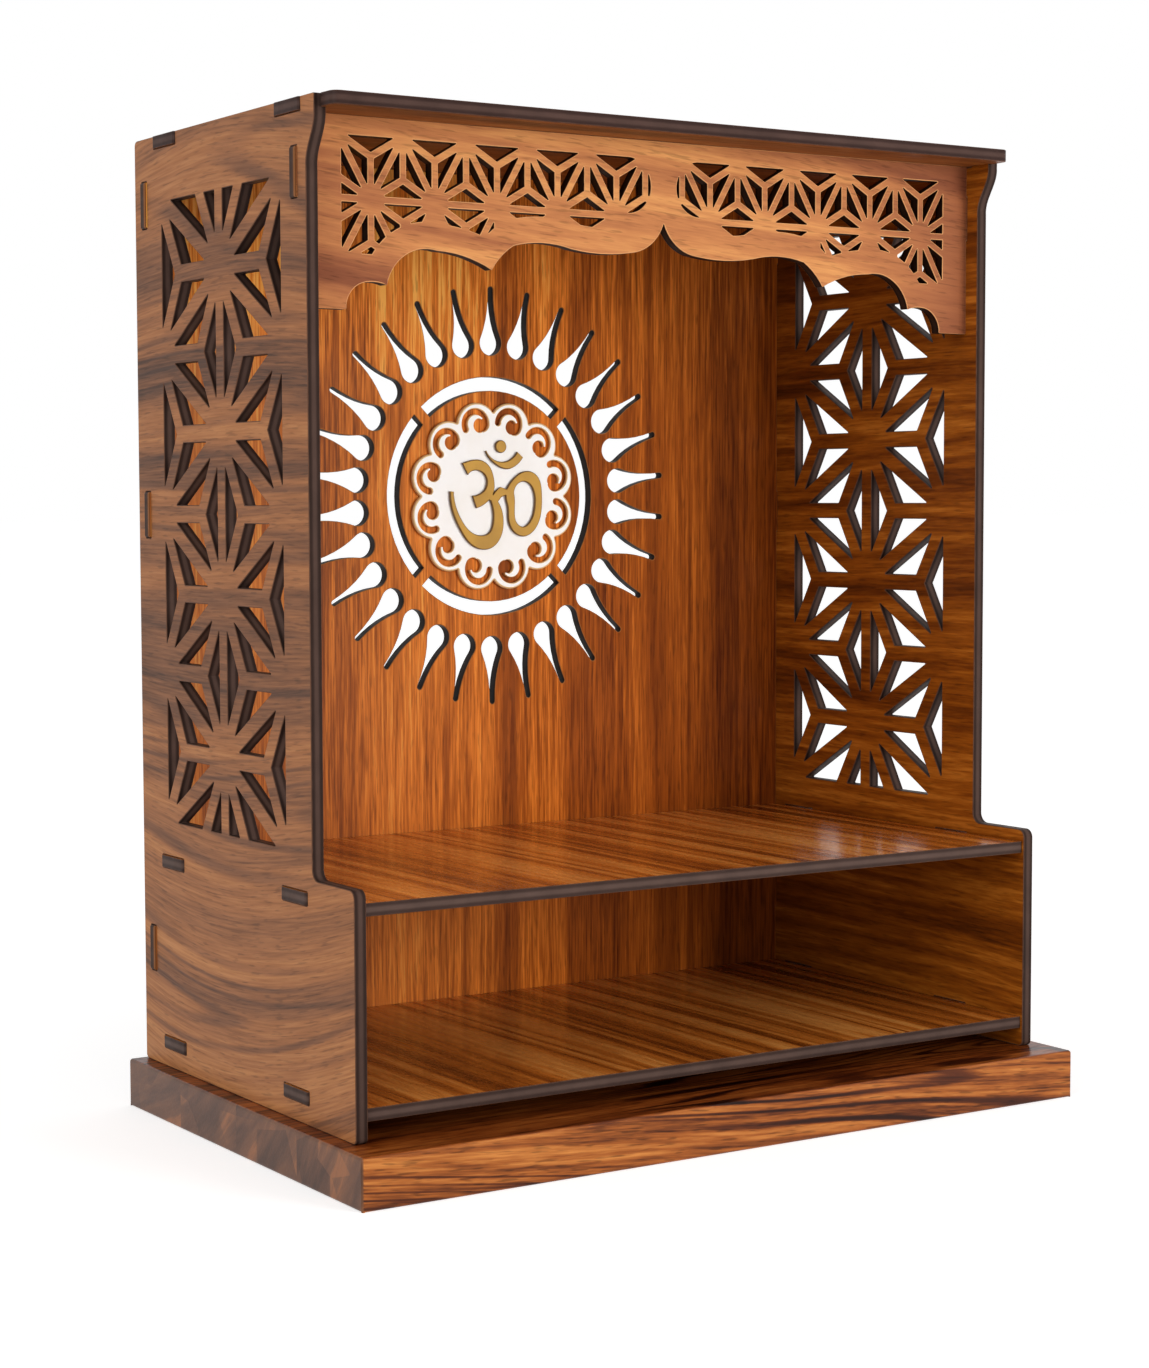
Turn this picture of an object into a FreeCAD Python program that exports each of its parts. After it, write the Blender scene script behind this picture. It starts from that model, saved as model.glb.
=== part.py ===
import FreeCAD, Part
import math
import os

# Wooden home shrine: a slot-and-tab cabinet of laser-cut board on a solid plinth.
# Millimetres, +Z up, front towards -Y, origin under the middle of the plinth.
# Outlines are drawn in x (from the middle), depth (back from the sides' lower front edge)
# and height (over the plinth's top).

# Board and cabinet
board = 7.0
cabinet_width = 460.0
side_depth = 262.0
side_height = 536.0
step_depth = 46.0
step_over_shelf = 7.0
step_fillet = 6.0
step_nose = 5.0
side_corner = 3.0
flare_depth = 9.5
flare_bottom = 36.0
flare_top = 9.0

# Plinth
plinth_height = 28.0
plinth_side_reach = 10.0
plinth_front_reach = 25.0
plinth_back_reach = 3.0
plinth_round = 1.8
stave_count = 4

# Shelves, back panel and roof
main_shelf_height = 117.0
bottom_shelf_height = 11.0
shelf_setback = 1.8
back_panel_inset = 9.5
roof_lip = 14.5
roof_lip_inset = 3.5
roof_lip_round = 5.0
lip_gap = 0.3

# Tenons and their slots
tenon_proud = 1.0
tenon_round = 1.5
slot_clearance = 0.25
slot_corner = 0.8
level_tenon_length = 29.0
front_tenon_setback = 20.5
rear_tenon_gap = 25.0
upright_tenon_length = 26.5
upper_tenon_drop = 30.8
middle_tenon_rise = 196.8

# Hemp-leaf window of each side: its margins to the front edge, back panel, roof and main shelf,
# its ribs, and how far its edges cut into the pattern's outer stars
side_window_front = 29.9
side_window_back = 19.9
side_window_top = 30.8
side_window_bottom = 20.4
side_window_cut = 3.1
side_rib = 10.0

# Front valance: its board, its arch and its two windows
valance_setback = 10.0
valance_height = 100.4
valance_leg = 21.3
small_lobe_width = 24.3
middle_lobe_width = 64.5
centre_cusp_rise = 54.9
inner_tooth_rise = 24.0
outer_tooth_rise = 13.3
valance_pitch = 38.7
valance_rib = 4.0
valance_window_top = 10.0
valance_window_bottom = 29.3
valance_window_side = 18.9
valance_window_middle = 8.8
valance_arch_rim = 14.4
hub_over_window = 0.8

# Rises of the arch's lobes, each at a share of its lobe's width: over the cusp's point in the
# centre lobe, and over the legs' ends in the others
centre_lobe_arcs = [((0.06, -10.5), (0.195, -17.4)), ((0.355, -18.9), (0.55, -17.1)),
                    ((0.735, -14.8), (0.877, -17.2)),
                    ((0.948, -23.5), (1.0, inner_tooth_rise - centre_cusp_rise))]
middle_lobe_arcs = [((0.25, 30.3), (0.529, 32.8)), ((0.878, 27.0), (1.0, outer_tooth_rise))]
small_lobe_arcs = [((0.255, 14.7), (0.53, 14.4)), ((0.872, 9.5), (1.0, 0.0))]

# Sunburst, ring and medallion of the back panel, from the middle outwards
sun_lift = 4.5
lobe_count = 12
lobe_centre = 45.0
lobe_swell = 2.85
disc_thickness = 3.0
ring_gap = 6.2
ring_width = 8.5
ring_bridge = 7.0
ring_slots = 4
ray_gap = 13.3
ray_length = 42.5
ray_count = 30
ray_bulb = 7.0
ray_tail = 1.7
om_thickness = 2.0
om_dot_radius = 4.0
om_dot_centre = (4.3, 31.0)

# A scroll cut in each lobe, as arcs in shares of the lobe's radius: across it, and outwards
scroll_start = (-0.72, -0.04)
scroll_arcs = [((-0.07, 0.77), (0.59, -0.03)), ((0.46, -0.23), (0.17, -0.29)),
               ((-0.16, 0.04), (0.13, 0.29)), ((0.19, 0.275), (0.25, 0.24)),
               ((0.315, 0.24), (0.32, 0.3)), ((-0.04, 0.52), (-0.47, 0.03)),
               ((-0.61, -0.12), scroll_start)]

# Strokes of the Om, from the medallion's centre: one curve along each side of a stroke
om_bowl_outside = [(-23.5, 20.5), (-16.1, 22.6), (-9.5, 22.3), (-4.2, 18.9), (-0.8, 10.9),
                   (-0.9, 3.0), (-5.0, -2.9), (-13.4, -7.3)]
om_bowl_inside = [(-16.3, 0.5), (-10.9, 1.7), (-6.9, 5.1), (-6.2, 10.8), (-9.5, 14.9),
                  (-14.9, 16.0), (-19.5, 13.3)]
om_sweep_outside = [(-32.5, 3.2), (-30.3, -10.8), (-25.7, -20.0), (-19.1, -28.7), (-9.8, -33.1),
                    (-1.8, -31.7), (4.3, -24.9), (6.1, -16.8), (4.6, -7.6), (1.6, -2.6)]
om_sweep_inside = [(-3.4, -2.6), (-1.6, -8.7), (-1.7, -16.7), (-4.4, -22.5), (-9.8, -24.2),
                   (-17.7, -21.8), (-24.3, -14.3), (-28.5, -5.2), (-29.8, 2.9)]
om_link = [(-4.4, -2.4), (-0.4, 2.8), (3.8, 5.9), (8.2, 4.6), (13.0, 9.6), (13.0, 1.0), (8.6, 1.0),
           (4.5, -0.6), (1.2, -4.4)]
om_loop_outside = [(8.4, -4.0), (9.0, 5.6), (13.3, 10.9), (20.1, 15.3), (27.0, 15.4), (32.4, 10.9),
                   (34.4, 1.6), (33.7, -11.2), (29.5, -20.4), (21.3, -25.2), (14.5, -23.2),
                   (9.8, -16.0)]
om_loop_inside = [(14.0, 1.0), (15.4, 6.4), (19.4, 9.0), (24.4, 8.2), (28.3, 2.8), (28.9, -6.5),
                  (25.6, -15.6), (20.2, -19.0), (15.9, -16.6), (14.3, -8.6)]
om_crescent_below = [(-6.8, 28.0), (-4.1, 23.5), (1.2, 19.3), (8.6, 16.9), (16.1, 19.6), (20.4, 24.2)]
om_crescent_above = [(16.1, 27.8), (13.0, 24.2), (6.6, 21.6), (-1.2, 23.2), (-6.3, 28.4)]

# A cell of fretwork smaller than this is left uncut
smallest_cell = 4.0

# Worked out from the sizes above
plinth_width = cabinet_width + 2 * plinth_side_reach
plinth_depth = plinth_front_reach + side_depth + plinth_back_reach
side_front = plinth_front_reach - plinth_depth / 2
inner_half = cabinet_width / 2 - board
main_shelf_top = main_shelf_height + board
step_height = main_shelf_top + step_over_shelf
roof_underside = side_height - board
flare_front = step_depth - flare_depth
valance_depth = step_depth + valance_setback
valance_bottom = roof_underside - valance_height
back_panel_depth = side_depth - back_panel_inset - board
front_tenon_depth = step_depth + front_tenon_setback
rear_tenon_depth = back_panel_depth - rear_tenon_gap
upper_tenon_height = roof_underside - upper_tenon_drop
middle_tenon_height = main_shelf_top + middle_tenon_rise
lower_tenon_height = (bottom_shelf_height + main_shelf_top) / 2
sun_height = (main_shelf_top + roof_underside) / 2 + sun_lift
lobe_radius = lobe_centre * math.sin(math.pi / lobe_count) + lobe_swell
ring_inner = lobe_centre + lobe_radius + ring_gap
ring_outer = ring_inner + ring_width
ray_inner = ring_outer + ray_gap
ray_outer = ray_inner + ray_length
disc_depth = back_panel_depth - disc_thickness
om_depth = disc_depth - om_thickness


def on_side(x):
    """Placing of a drawing in depth and height on the plane at x."""
    return lambda depth, height: FreeCAD.Vector(x, side_front + depth, plinth_height + height)


def on_front(depth):
    """Placing of a drawing in x and height on the plane at a depth."""
    return lambda x, height: FreeCAD.Vector(x, side_front + depth, plinth_height + height)


def on_level(height):
    """Placing of a drawing in x and depth on the plane at a height."""
    return lambda x, depth: FreeCAD.Vector(x, side_front + depth, plinth_height + height)


def outline(place, start, steps):
    """Closed wire from start: a step of one point is a line, of two an arc, of more a curve."""
    edges = []
    here = start
    for step in steps:
        points = [place(*here)] + [place(*point) for point in step]
        if len(points) == 2:
            edges.append(Part.makeLine(points[0], points[1]))
        elif len(points) == 3:
            edges.append(Part.Arc(*points).toShape())
        else:
            curve = Part.BSplineCurve()
            curve.interpolate(points)
            edges.append(curve.toShape())
        here = step[-1]
    return Part.Wire(edges)


def closed_curve(place, points):
    """Closed smooth wire through the points."""
    curve = Part.BSplineCurve()
    curve.interpolate([place(*point) for point in points], PeriodicFlag=True)
    return Part.Wire(curve.toShape())


def straight(place, points):
    """Closed wire of straight edges through the points."""
    return outline(place, points[0], [(point,) for point in points[1:]] + [(points[0],)])


def rounded_rectangle(place, left, right, low, high, radius):
    """Closed wire of a rectangle with four rounded corners."""
    cut = radius * (1 - math.sqrt(0.5))
    return outline(place, (left + radius, low), [
        ((right - radius, low),), ((right - cut, low + cut), (right, low + radius)),
        ((right, high - radius),), ((right - cut, high - cut), (right - radius, high)),
        ((left + radius, high),), ((left + cut, high - cut), (left, high - radius)),
        ((left, low + radius),), ((left + cut, low + cut), (left + radius, low))])


def plate(outer, holes, thickness):
    """Solid plate behind or beside a drawn outline, with holes through it."""
    return Part.makeFace([outer] + holes, "Part::FaceMakerBullseye").extrude(thickness)


def inset(corners, gaps):
    """Corners of a convex counterclockwise polygon with each edge moved in by its own gap."""
    lines = []
    for index, corner in enumerate(corners):
        after = corners[(index + 1) % len(corners)]
        length = math.dist(corner, after)
        normal = ((corner[1] - after[1]) / length, (after[0] - corner[0]) / length)
        lines.append((normal, normal[0] * corner[0] + normal[1] * corner[1] + gaps[index]))
    moved = []
    for index, (normal, level) in enumerate(lines):
        before, before_level = lines[index - 1]
        cross = before[0] * normal[1] - before[1] * normal[0]
        moved.append(((before_level * normal[1] - level * before[1]) / cross,
                      (before[0] * level - normal[0] * before_level) / cross))
    return moved


def clip(corners, axis, limit, keep_above):
    """Part of a convex polygon above or below a limit along one axis."""
    kept = []
    for index, corner in enumerate(corners):
        after = corners[(index + 1) % len(corners)]
        sides = [(point[axis] - limit) * (1 if keep_above else -1) for point in (corner, after)]
        if sides[0] >= 0:
            kept.append(corner)
        if sides[0] * sides[1] < 0:
            share = sides[0] / (sides[0] - sides[1])
            kept.append(tuple(a + share * (b - a) for a, b in zip(corner, after)))
    return kept


def area(corners):
    """Area of a polygon, positive when it runs counterclockwise."""
    return sum(a[0] * b[1] - b[0] * a[1] for a, b in zip(corners, corners[1:] + corners[:1])) / 2


def hemp_leaf_cells(star, pitch, turn, rib, window):
    """Cells of a hemp-leaf lattice inside a window, as convex polygons.

    A grid of equal triangles has one star at each corner. Each triangle is split from its
    centroid into three cells, and each cell is set in by half a rib from every rib beside it.
    """
    left, right, low, high = window
    along = (pitch * math.cos(turn), pitch * math.sin(turn))
    across = (pitch * math.cos(turn + math.pi / 3), pitch * math.sin(turn + math.pi / 3))
    reach = math.ceil(2 * (right - left + high - low) / pitch)
    cells = []
    for i in range(-reach, reach + 1):
        for j in range(-reach, reach + 1):
            a = (star[0] + i * along[0] + j * across[0], star[1] + i * along[1] + j * across[1])
            if not (left - 2 * pitch < a[0] < right + 2 * pitch):
                continue
            if not (low - 2 * pitch < a[1] < high + 2 * pitch):
                continue
            b = (a[0] + along[0], a[1] + along[1])
            c = (a[0] + across[0], a[1] + across[1])
            d = (b[0] + across[0], b[1] + across[1])
            for triangle in ((a, b, c), (b, d, c)):
                cells += triangle_cells(triangle, rib, window)
    return cells


def crosses(start, end, window):
    """Whether a grid line passes through the window, so that it carries a rib."""
    left, right, low, high = window
    entry = 0.0
    leave = 1.0
    for axis, least, most in ((0, left, right), (1, low, high)):
        run = end[axis] - start[axis]
        if abs(run) < 1e-9:
            if not least < start[axis] < most:
                return False
            continue
        shares = sorted(((least - start[axis]) / run, (most - start[axis]) / run))
        entry = max(entry, shares[0])
        leave = min(leave, shares[1])
    return leave > entry


def triangle_cells(triangle, rib, window):
    """The three cells of one grid triangle, clipped to the window."""
    left, right, low, high = window
    middle = tuple(sum(corner[axis] for corner in triangle) / 3 for axis in (0, 1))
    cells = []
    for index in range(3):
        cell = [triangle[index], triangle[(index + 1) % 3], middle]
        gaps = [rib / 2 if crosses(start, end, window) else 0.0
                for start, end in zip(cell, cell[1:] + cell[:1])]
        shape = inset(cell, gaps)
        if area(shape) <= 0:
            continue
        for axis, limit, above in ((0, left, True), (0, right, False), (1, low, True), (1, high, False)):
            if shape:
                shape = clip(shape, axis, limit, above)
        if len(shape) > 2 and area(shape) > smallest_cell:
            cells.append(shape)
    return cells


def level_slots(height):
    """Depth and height ranges of the two slots that a level board's tenons pass through."""
    reach = level_tenon_length / 2 + slot_clearance
    return [(depth - reach, depth + reach, height - slot_clearance, height + board + slot_clearance)
            for depth in (front_tenon_depth, rear_tenon_depth)]


def upright_slot(depth, centre):
    """Depth and height range of the slot that an upright board's tenon passes through."""
    reach = upright_tenon_length / 2 + slot_clearance
    return (depth - slot_clearance, depth + board + slot_clearance, centre - reach, centre + reach)


def side_outline(place):
    """Closed wire of a side: stepped in front, and flared under the roof's lip."""
    nose = step_nose * (1 - math.sqrt(0.5))
    fillet = step_fillet * (1 - math.sqrt(0.5))
    corner = side_corner * (1 - math.sqrt(0.5))
    reach = level_tenon_length / 2 + slot_clearance
    notch = roof_underside - slot_clearance
    flare_low = side_height - flare_bottom
    flare_high = side_height - flare_top
    flare_middle = (flare_low + flare_high) / 2
    lean = (flare_high - flare_low) * 0.2
    steps = [((side_depth - side_corner, 0),),
             ((side_depth - corner, corner), (side_depth, side_corner)),
             ((side_depth, side_height - side_corner),),
             ((side_depth - corner, side_height - corner), (side_depth - side_corner, side_height))]
    for depth in (rear_tenon_depth, front_tenon_depth):
        steps += [((depth + reach, side_height),), ((depth + reach, notch),),
                  ((depth - reach, notch),), ((depth - reach, side_height),)]
    steps += [((flare_front, side_height),), ((flare_front, flare_high),),
              ((flare_front + 0.6, flare_high - lean), (flare_front + flare_depth / 2, flare_middle),
               (step_depth - 0.6, flare_low + lean), (step_depth, flare_low)),
              ((step_depth, step_height + step_fillet),),
              ((step_depth - fillet, step_height + fillet), (step_depth - step_fillet, step_height)),
              ((step_nose, step_height),),
              ((nose, step_height - nose), (0, step_height - step_nose)),
              ((0, side_corner),), ((corner, corner), (side_corner, 0))]
    return outline(place, (side_corner, 0), steps)


def side_panel(inner_face):
    """One side: a window with one column of stars, and a slot for every tenon."""
    place = on_side(inner_face)
    window = (step_depth + side_window_front, back_panel_depth - side_window_back,
              main_shelf_top + side_window_bottom, roof_underside - side_window_top)
    front, back, low, high = window
    pitch = (back - front + 2 * side_window_cut) / math.sqrt(3)
    star = ((front + back) / 2, high + side_window_cut - pitch / 2)
    holes = [straight(place, cell)
             for cell in hemp_leaf_cells(star, pitch, math.pi / 2, side_rib, window)]
    slots = level_slots(main_shelf_height) + level_slots(bottom_shelf_height)
    slots += [upright_slot(valance_depth, upper_tenon_height)]
    slots += [upright_slot(back_panel_depth, height)
              for height in (lower_tenon_height, middle_tenon_height, upper_tenon_height)]
    holes += [rounded_rectangle(place, *slot, slot_corner) for slot in slots]
    outward = board if inner_face > 0 else -board
    return plate(side_outline(place), holes, FreeCAD.Vector(outward, 0, 0))


def tenon(across, along, length):
    """A tenon's plan on the right: out of the board's end, with rounded outer corners."""
    outer = cabinet_width / 2 + tenon_proud
    cut = tenon_round * (1 - math.sqrt(0.5))
    low = along - length / 2
    high = along + length / 2
    return [((across, low),), ((outer - tenon_round, low),),
            ((outer - cut, low + cut), (outer, low + tenon_round)),
            ((outer, high - tenon_round),),
            ((outer - cut, high - cut), (outer - tenon_round, high)), ((across, high),)]


def mirrored(steps, start):
    """The same steps on the other side of the middle, walked backwards from their end to start."""
    points = [start] + [step[-1] for step in steps]
    back = []
    for index in range(len(steps) - 1, -1, -1):
        middle = [(-x, y) for x, y in steps[index][:-1]]
        end = (-points[index][0], points[index][1])
        back.append(tuple(middle[::-1] + [end]))
    return back


def tenoned_board(place, first, right_steps, thickness):
    """Plate that is the same left and right: right_steps run from first, on the middle line."""
    steps = right_steps + mirrored(right_steps, first)
    return plate(outline(place, first, steps), [], thickness)


def level_steps(front, back):
    """Right half of a shelf's plan, from its front to its back."""
    return ([((inner_half, front),)] + tenon(inner_half, front_tenon_depth, level_tenon_length)
            + tenon(inner_half, rear_tenon_depth, level_tenon_length)
            + [((inner_half, back),), ((0, back),)])


def shelf(height):
    """A shelf between the sides, from just behind their front edges to the back panel."""
    steps = level_steps(shelf_setback, back_panel_depth)
    return tenoned_board(on_level(height), (0, shelf_setback), steps, FreeCAD.Vector(0, 0, board))


def roof_panel():
    """The roof between the sides, with a lip in front of them and tenons in their top notches."""
    lip_half = cabinet_width / 2 - roof_lip_inset
    lip_front = flare_front - roof_lip
    lip_back = flare_front - lip_gap
    cut = roof_lip_round * (1 - math.sqrt(0.5))
    steps = [((lip_half - roof_lip_round, lip_front),),
             ((lip_half - cut, lip_front + cut), (lip_half, lip_front + roof_lip_round)),
             ((lip_half, lip_back),)] + level_steps(lip_back, side_depth)
    return tenoned_board(on_level(roof_underside), (0, lip_front), steps,
                         FreeCAD.Vector(0, 0, board))


def upright_steps(low, high, tenon_heights):
    """Right half of an upright board, from the middle of its bottom to the middle of its top."""
    steps = [((inner_half, low),)]
    for height in tenon_heights:
        steps += tenon(inner_half, height, upright_tenon_length)
    return steps + [((inner_half, high),), ((0, high),)]


def ray(angle):
    """Closed wire of one teardrop ray: round towards the centre, a thin tail outwards."""
    def place(out, side):
        x = out * math.sin(angle) + side * math.cos(angle)
        height = sun_height + out * math.cos(angle) - side * math.sin(angle)
        return on_front(back_panel_depth)(x, height)

    bulb = ray_inner + ray_bulb
    tail = ray_outer - ray_tail
    shoulder = bulb + (tail - bulb) * 0.12
    neck = bulb + (tail - bulb) * 0.74
    waist = bulb + (tail - bulb) * 0.42
    return outline(place, (shoulder, -ray_bulb), [
        ((ray_inner, 0), (shoulder, ray_bulb)),
        ((waist, ray_bulb * 0.52), (neck, ray_tail * 1.15), (tail, ray_tail)),
        ((ray_outer, 0), (tail, -ray_tail)),
        ((neck, -ray_tail * 1.15), (waist, -ray_bulb * 0.52), (shoulder, -ray_bulb))])


def ring_slot(middle_angle):
    """Closed wire of one slot of the ring, between two bridges."""
    place = on_front(back_panel_depth)
    quarter = math.pi / ring_slots
    sides = []
    for radius in (ring_inner, ring_outer):
        half = quarter - math.asin(ring_bridge / 2 / radius)
        sides.append([(radius * math.sin(middle_angle + half * turn),
                       sun_height + radius * math.cos(middle_angle + half * turn))
                      for turn in (-1, 0, 1)])
    inner, outer = sides
    return outline(place, inner[0], [(inner[1], inner[2]), (outer[2],), (outer[1], outer[0]), (inner[0],)])


def back_panel():
    """The back, from the plinth to the roof, with the sunburst and the ring cut through it."""
    tenons = (lower_tenon_height, middle_tenon_height, upper_tenon_height)
    steps = upright_steps(0, roof_underside, tenons)
    panel = tenoned_board(on_front(back_panel_depth), (0, 0), steps, FreeCAD.Vector(0, board, 0))
    cuts = [ray(2 * math.pi * index / ray_count) for index in range(ray_count)]
    cuts += [ring_slot(2 * math.pi * index / ring_slots) for index in range(ring_slots)]
    return panel.cut([Part.Face(cut).extrude(FreeCAD.Vector(0, board, 0)) for cut in cuts])


def arch_steps():
    """Right half of the arch, from the cusp in the middle to the leg's inner end."""
    leg_inside = inner_half - valance_leg
    outer_tooth = leg_inside - small_lobe_width
    inner_tooth = outer_tooth - middle_lobe_width
    steps = []
    for start, width, base, arcs in (
            (0, inner_tooth, valance_bottom + centre_cusp_rise, centre_lobe_arcs),
            (inner_tooth, middle_lobe_width, valance_bottom, middle_lobe_arcs),
            (outer_tooth, small_lobe_width, valance_bottom, small_lobe_arcs)):
        for arc in arcs:
            steps.append(tuple((start + share * width, base + rise) for share, rise in arc))
    return steps


def valance_openings():
    """Right-hand cells of the valance's fretwork, kept clear of the arch by its rim."""
    place = on_front(valance_depth)
    through = FreeCAD.Vector(0, board, 0)
    left = valance_window_middle
    right = inner_half - valance_window_side
    high = roof_underside - valance_window_top
    low = valance_bottom + valance_window_bottom
    row = valance_pitch * math.sqrt(3) / 2
    star = (right - valance_pitch / 2 + valance_rib / 2, high + hub_over_window - row)
    bar_top = star[1] + valance_rib / 2
    end = (high - bar_top) / 2
    columns = int((star[0] - left) / valance_pitch)
    first_star = star[0] - columns * valance_pitch
    window = Part.Face(outline(place, (left + end, high), [
        ((left, high - end), (left + end, bar_top)), ((first_star, bar_top),), ((first_star, low),),
        ((right, low),), ((right, high),), ((left + end, high),)])).extrude(through)
    arch = arch_steps()
    cusp = (0, valance_bottom + centre_cusp_rise)
    leg = arch[-1][-1]
    void = outline(place, cusp, arch + [((-leg[0], leg[1]),)] + mirrored(arch, cusp))
    kept = Part.Face(void.makeOffset2D(valance_arch_rim)).extrude(through)
    cells = hemp_leaf_cells(star, valance_pitch, 0, valance_rib, (left, right, low, high))
    openings = []
    for cell in cells:
        whole = Part.Face(straight(place, cell)).extrude(through)
        cut = whole.common(window).cut(kept)
        openings += [piece for piece in cut.Solids if piece.Volume > smallest_cell * board]
    return openings


def front_valance():
    """The arched valance between the sides, under the roof."""
    place = on_front(valance_depth)
    cusp = (0, valance_bottom + centre_cusp_rise)
    steps = arch_steps() + upright_steps(valance_bottom, roof_underside, (upper_tenon_height,))
    panel = tenoned_board(place, cusp, steps, FreeCAD.Vector(0, board, 0))
    openings = valance_openings()
    middle = FreeCAD.Vector(0, 0, 0)
    openings += [piece.mirror(middle, FreeCAD.Vector(1, 0, 0)) for piece in openings]
    return panel.cut(openings)


def on_medallion(depth, angle=0.0, out=0.0, unit=1.0):
    """Placing of a drawing on the medallion: in its own unit, moved out and turned about the centre."""
    def place(across, up):
        along = out + up * unit
        x = across * unit * math.cos(angle) + along * math.sin(angle)
        height = sun_height + along * math.cos(angle) - across * unit * math.sin(angle)
        return on_front(depth)(x, height)

    return place


def medallion_disc():
    """White disc with a scalloped edge, and a scroll cut through each lobe."""
    spacing = 2 * math.pi / lobe_count
    notch = math.cos(spacing / 2) * lobe_centre
    notch += math.sqrt(lobe_radius ** 2 - (lobe_centre * math.sin(spacing / 2)) ** 2)
    place = on_medallion(disc_depth)
    edges = []
    for index in range(lobe_count):
        angles = [spacing * (index + share) for share in (-1, -0.5, 0)]
        radii = (notch, lobe_centre + lobe_radius, notch)
        points = [place(r * math.sin(a), r * math.cos(a)) for r, a in zip(radii, angles)]
        edges.append(Part.Arc(*points).toShape())
    scrolls = []
    for index in range(lobe_count):
        lobe = on_medallion(disc_depth, spacing * (index + 0.5), lobe_centre, lobe_radius)
        scrolls.append(outline(lobe, scroll_start, scroll_arcs))
    return plate(Part.Wire(edges), scrolls, FreeCAD.Vector(0, disc_thickness, 0))


def stroke(one_side, other_side):
    """Closed wire of one stroke of the Om: a curve along each side, and its two straight ends."""
    place = on_medallion(om_depth)
    steps = [tuple(one_side[1:]), (other_side[0],), tuple(other_side[1:]), (one_side[0],)]
    return outline(place, one_side[0], steps)


def om_letter():
    """The Om's main stroke: an upper bowl, a long sweep, the link between them and the loop."""
    place = on_medallion(om_depth)
    outward = FreeCAD.Vector(0, om_thickness, 0)
    bowl = plate(stroke(om_bowl_outside, om_bowl_inside), [], outward)
    sweep = plate(stroke(om_sweep_outside, om_sweep_inside), [], outward)
    link = plate(straight(place, om_link), [], outward)
    loop = plate(closed_curve(place, om_loop_outside), [closed_curve(place, om_loop_inside)], outward)
    return bowl.fuse([sweep, link, loop]).removeSplitter()


def om_crescent():
    """The crescent over the Om."""
    return plate(stroke(om_crescent_below, om_crescent_above), [], FreeCAD.Vector(0, om_thickness, 0))


def om_dot():
    """The round dot in the crescent."""
    centre = on_medallion(om_depth)(*om_dot_centre)
    return Part.makeCylinder(om_dot_radius, om_thickness, centre, FreeCAD.Vector(0, 1, 0))


def plinth_staves():
    """The solid plinth as its glued staves, rounded along the outer edges."""
    corner = FreeCAD.Vector(-plinth_width / 2, -plinth_depth / 2, 0)
    block = Part.makeBox(plinth_width, plinth_depth, plinth_height, corner)
    rounded = [edge for edge in block.Edges if edge.BoundBox.ZMax > plinth_round]
    block = block.makeFillet(plinth_round, rounded)
    stave_depth = plinth_depth / stave_count
    staves = []
    for index in range(stave_count):
        start = FreeCAD.Vector(-plinth_width / 2, -plinth_depth / 2 + index * stave_depth, 0)
        staves.append(block.common(Part.makeBox(plinth_width, stave_depth, plinth_height, start)))
    return staves


def save(name, shape):
    """One STEP file for one piece."""
    solid = shape.Solids[0] if len(shape.Solids) == 1 else shape
    solid.exportStep("parts/" + name + ".step")


os.makedirs("parts", exist_ok=True)
for number, stave in enumerate(plinth_staves(), start=1):
    save("plinth_stave_" + str(number), stave)
save("left_side_panel", side_panel(-inner_half))
save("right_side_panel", side_panel(inner_half))
save("back_panel", back_panel())
save("bottom_shelf", shelf(bottom_shelf_height))
save("main_shelf", shelf(main_shelf_height))
save("roof_panel", roof_panel())
save("front_valance", front_valance())
save("medallion_disc", medallion_disc())
save("om_letter", om_letter())
save("om_crescent", om_crescent())
save("om_dot", om_dot())
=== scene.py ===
import math

import bmesh
import bpy
import numpy as np
from mathutils import Matrix, Vector, geometry


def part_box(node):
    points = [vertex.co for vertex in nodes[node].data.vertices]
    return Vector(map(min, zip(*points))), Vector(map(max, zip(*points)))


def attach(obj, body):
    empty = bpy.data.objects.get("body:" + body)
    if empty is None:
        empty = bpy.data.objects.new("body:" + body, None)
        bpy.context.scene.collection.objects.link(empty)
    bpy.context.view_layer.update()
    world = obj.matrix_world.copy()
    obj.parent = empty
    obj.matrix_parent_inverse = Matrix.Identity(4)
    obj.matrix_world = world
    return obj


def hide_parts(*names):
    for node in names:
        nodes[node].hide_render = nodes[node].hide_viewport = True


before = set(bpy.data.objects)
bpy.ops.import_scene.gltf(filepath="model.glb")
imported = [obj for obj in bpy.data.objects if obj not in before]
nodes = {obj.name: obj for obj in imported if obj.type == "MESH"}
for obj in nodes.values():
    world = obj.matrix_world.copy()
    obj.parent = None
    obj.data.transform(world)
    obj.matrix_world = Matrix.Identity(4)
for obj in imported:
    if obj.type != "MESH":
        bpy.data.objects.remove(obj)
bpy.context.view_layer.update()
staves = ["plinth_stave_%d" % number for number in range(1, 5)]
X, Y, Z = 0, 1, 2

# Camera of the photograph, in the row frame
camera_place = (-0.8677, -1.3176, 0.3575)
camera_yaw = math.radians(-32.774)
camera_down = math.radians(3.949)
camera_roll = math.radians(-0.147)
camera_lens = 70.69
sensor = 36.0

# Edges, in metres
board_bevel = 0.0005
disc_bevel = 0.0013
om_bevel = 0.0007
plinth_round = 0.0015
inside_round = 0.00025

# A corner is rounded where it turns by more than corner_turn. Outside corners get a radius of
# outside_round bevels, and a corner takes up to corner_room of the shorter edge beside it.
corner_turn = math.radians(20)
corner_points = 4
corner_room = 0.45
outside_round = 1.4

# A mitre is at most longest_mitre bevels, and a bevel fills at most kept_room of a narrow place
longest_mitre = 2.0
kept_room = 0.85

# The disc's bevel round an opening, as a share of the one round its rim
disc_opening_share = 0.45

# A place on the border counts as across the wood where its direction is inwards by this share
least_inwards = 0.03

# Points are compared in whole microns, and triangles are made in millimetres
microns_in_metre = 1e6
millimetres_in_metre = 1000

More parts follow.
